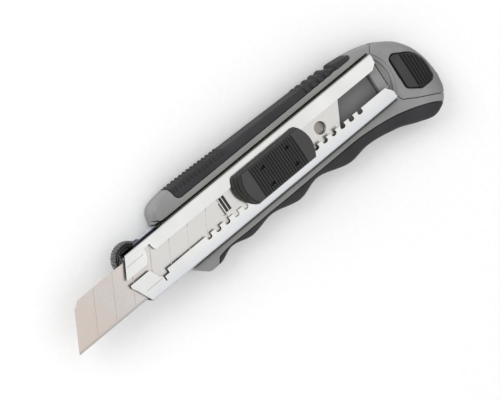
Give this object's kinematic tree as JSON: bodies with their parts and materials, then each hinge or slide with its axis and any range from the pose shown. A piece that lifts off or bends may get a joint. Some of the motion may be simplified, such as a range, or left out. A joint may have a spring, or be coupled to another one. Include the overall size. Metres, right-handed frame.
{
  "type": "utility knife",
  "caption": "Self-loading snap-off utility knife with toothed steel channel, ribbed slider, nose clamp wheel, spare-blade magazine and swing-open end cap.",
  "frame": {"origin": "on the flat back face of the handle, on the middle line of the blade, 110 mm behind the blade's tip", "axes": "+X from the blade tip to the butt, +Y towards the spine of the handle, +Z from the back face up to the slider"},
  "size_m": [0.1994, 0.0487, 0.023],
  "materials": {
    "chrome_steel": "bright chrome plate on pressed steel",
    "blade_steel": "ground carbon steel, fine lengthwise grain",
    "spring_steel": "blued spring steel",
    "plated_steel": "satin zinc plate",
    "grey_plastic": "satin grey moulding",
    "dark_plastic": "matt dark grey moulding",
    "black_plastic": "semi-matt black moulding",
    "grip_rubber": "matt overmoulded rubber"
  },
  "bodies": {
    "housing": {"channel": "chrome_steel", "front_housing": "grey_plastic", "back_housing": "grey_plastic", "belly_grip": "grip_rubber", "spine_grip": "grip_rubber", "nose_bracket": "plated_steel", "cap_hinge_pin": "plated_steel", "magazine_spring": "spring_steel", "channel_rivet_1": "plated_steel", "channel_rivet_2": "plated_steel", "housing_screw_1": "plated_steel", "housing_screw_2": "plated_steel", "housing_screw_3": "plated_steel", "housing_screw_4": "plated_steel"},
    "carriage": {"blade": "blade_steel", "blade_carrier": "blade_steel", "slider_base": "black_plastic", "slider_cap": "black_plastic", "ratchet_spring": "spring_steel"},
    "magazine_stack": {"spare_blade_1": "blade_steel", "spare_blade_2": "blade_steel", "spare_blade_3": "blade_steel", "magazine_follower": "dark_plastic"},
    "cap": {"end_cap": "grey_plastic", "end_block": "grey_plastic", "latch_spring": "spring_steel"},
    "latch": {"latch_button": "black_plastic"},
    "wheel": {"clamp_wheel": "black_plastic", "clamp_stud": "plated_steel"},
    "shoe": {"clamp_shoe": "plated_steel"}
  },
  "joints": [
    {"name": "carriage_slide", "type": "slide", "parent": "housing", "child": "carriage", "axis": [1, 0, 0], "range_m": [-0.04, 0.045], "deforming": ["ratchet_spring"]},
    {"name": "magazine_lift", "type": "slide", "parent": "housing", "child": "magazine_stack", "axis": [0, 0, 1], "range_m": [-0.0003, 0], "stiffness_N_per_m": 2000, "springref_m": 0.0002, "deforming": ["magazine_spring"]},
    {"name": "cap_swing", "type": "hinge", "parent": "housing", "child": "cap", "pos_m": [0.071, 0.0085, 0.007], "axis": [0, 0, 1], "range_deg": [0, 55]},
    {"name": "latch_press", "type": "slide", "parent": "cap", "child": "latch", "axis": [0, 0, -1], "range_m": [0, 0.0015], "stiffness_N_per_m": 400, "springref_m": -0.001, "deforming": ["latch_spring"]},
    {"name": "wheel_turn", "type": "hinge", "parent": "housing", "child": "wheel", "pos_m": [-0.0682, 0.0069, 0.0086], "axis": [0, 0, 1], "range_deg": [-360, 0]},
    {"name": "shoe_lift", "type": "slide", "parent": "housing", "child": "shoe", "axis": [0, 0, 1], "range_m": [-0.0005, 0]}
  ],
  "couplings": [
    {"joint": "wheel_turn", "follows": "shoe_lift", "rad_per_m": 12566}
  ]
}
